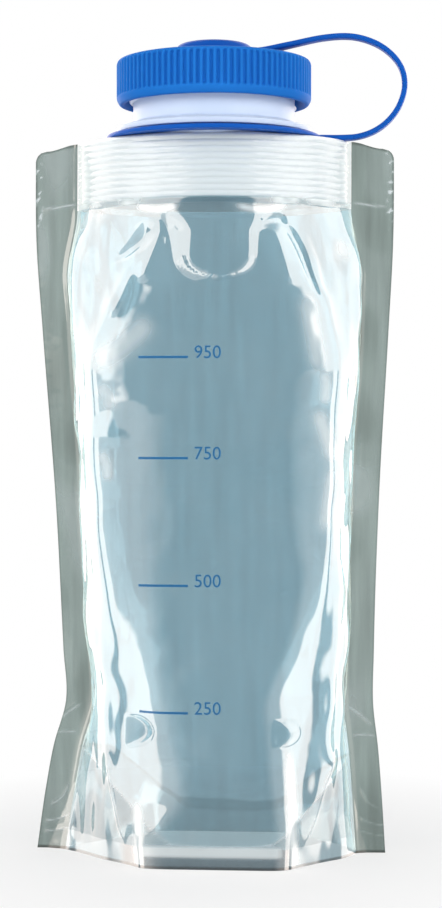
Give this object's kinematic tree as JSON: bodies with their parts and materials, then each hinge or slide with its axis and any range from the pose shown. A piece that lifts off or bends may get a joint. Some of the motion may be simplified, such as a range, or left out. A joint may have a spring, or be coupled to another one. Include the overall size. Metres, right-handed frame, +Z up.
{
  "type": "collapsible water bottle",
  "caption": "Stand-up film pouch bottle with a folded bottom, a ribbed wide-mouth neck fitting, a fluted screw cap and a looped strap that keeps the cap on the neck.",
  "frame": {"origin": "on the ground, under the middle of the whole part; the neck's axis stands 2.1 mm to the left of it", "axes": "+Z up along the neck, -Y out of the front wall, +X towards the strap's loop"},
  "size_m": [0.1303, 0.0748, 0.2869],
  "materials": {
    "clear_film": "clear glossy laminate",
    "welded_film": "glossy double laminate",
    "white_moulding": "satin, slightly translucent",
    "cap_blue": "satin",
    "strap_blue": "satin"
  },
  "bodies": {
    "bottle": {"neck_fitting": "white_moulding", "front_neck_weld": "clear_film", "back_neck_weld": "clear_film", "left_side_seal": "welded_film", "right_side_seal": "welded_film", "bottom_gusset": "clear_film"},
    "front_wall": {"front_film": "clear_film", "front_hem": "welded_film"},
    "back_wall": {"back_film": "clear_film", "back_hem": "welded_film"},
    "ring": {"tether_ring": "strap_blue"},
    "strap_root": {"tether_root": "strap_blue"},
    "strap_loop": {"tether_loop": "strap_blue"},
    "tether_head": {"tether_arm": "strap_blue", "tether_disc": "strap_blue"},
    "cap": {"screw_cap": "cap_blue"}
  },
  "joints": [
    {"name": "front_wall_fold", "type": "hinge", "parent": "bottle", "child": "front_wall", "pos_m": [-0.0021, -0.0305, 0.226], "axis": [1, 0, 0], "range_deg": [0, 7.6], "deforming": ["front_film", "front_hem", "back_film", "back_hem", "bottom_gusset"]},
    {"name": "back_wall_fold", "type": "hinge", "parent": "bottle", "child": "back_wall", "pos_m": [-0.0021, 0.0305, 0.226], "axis": [-1, 0, 0], "range_deg": [0, 7.6]},
    {"name": "tether_swivel", "type": "hinge", "parent": "bottle", "child": "ring", "pos_m": [-0.0021, 0, 0.25045], "axis": [0, 0, 1], "continuous": true},
    {"name": "cap_rise", "type": "slide", "parent": "ring", "child": "strap_root", "axis": [0, 0, 1], "range_m": [0, 0.0053]},
    {"name": "strap_bend_lower", "type": "hinge", "parent": "strap_root", "child": "strap_loop", "pos_m": [0.0589, 0, 0.256], "axis": [0, 1, 0], "range_deg": [0, 100], "deforming": ["tether_loop"]},
    {"name": "strap_bend_upper", "type": "hinge", "parent": "strap_loop", "child": "tether_head", "pos_m": [0.0597, 0, 0.2786], "axis": [0, 1, 0], "range_deg": [0, 100]},
    {"name": "cap_turn", "type": "hinge", "parent": "tether_head", "child": "cap", "pos_m": [-0.0021, 0, 0.277], "axis": [0, 0, 1], "range_deg": [0, 450]}
  ],
  "couplings": [
    {"joint": "back_wall_fold", "follows": "front_wall_fold", "ratio": 1},
    {"joint": "cap_rise", "follows": "cap_turn", "m_per_rad": 0.000673},
    {"joint": "strap_bend_upper", "follows": "strap_bend_lower", "ratio": 1}
  ]
}
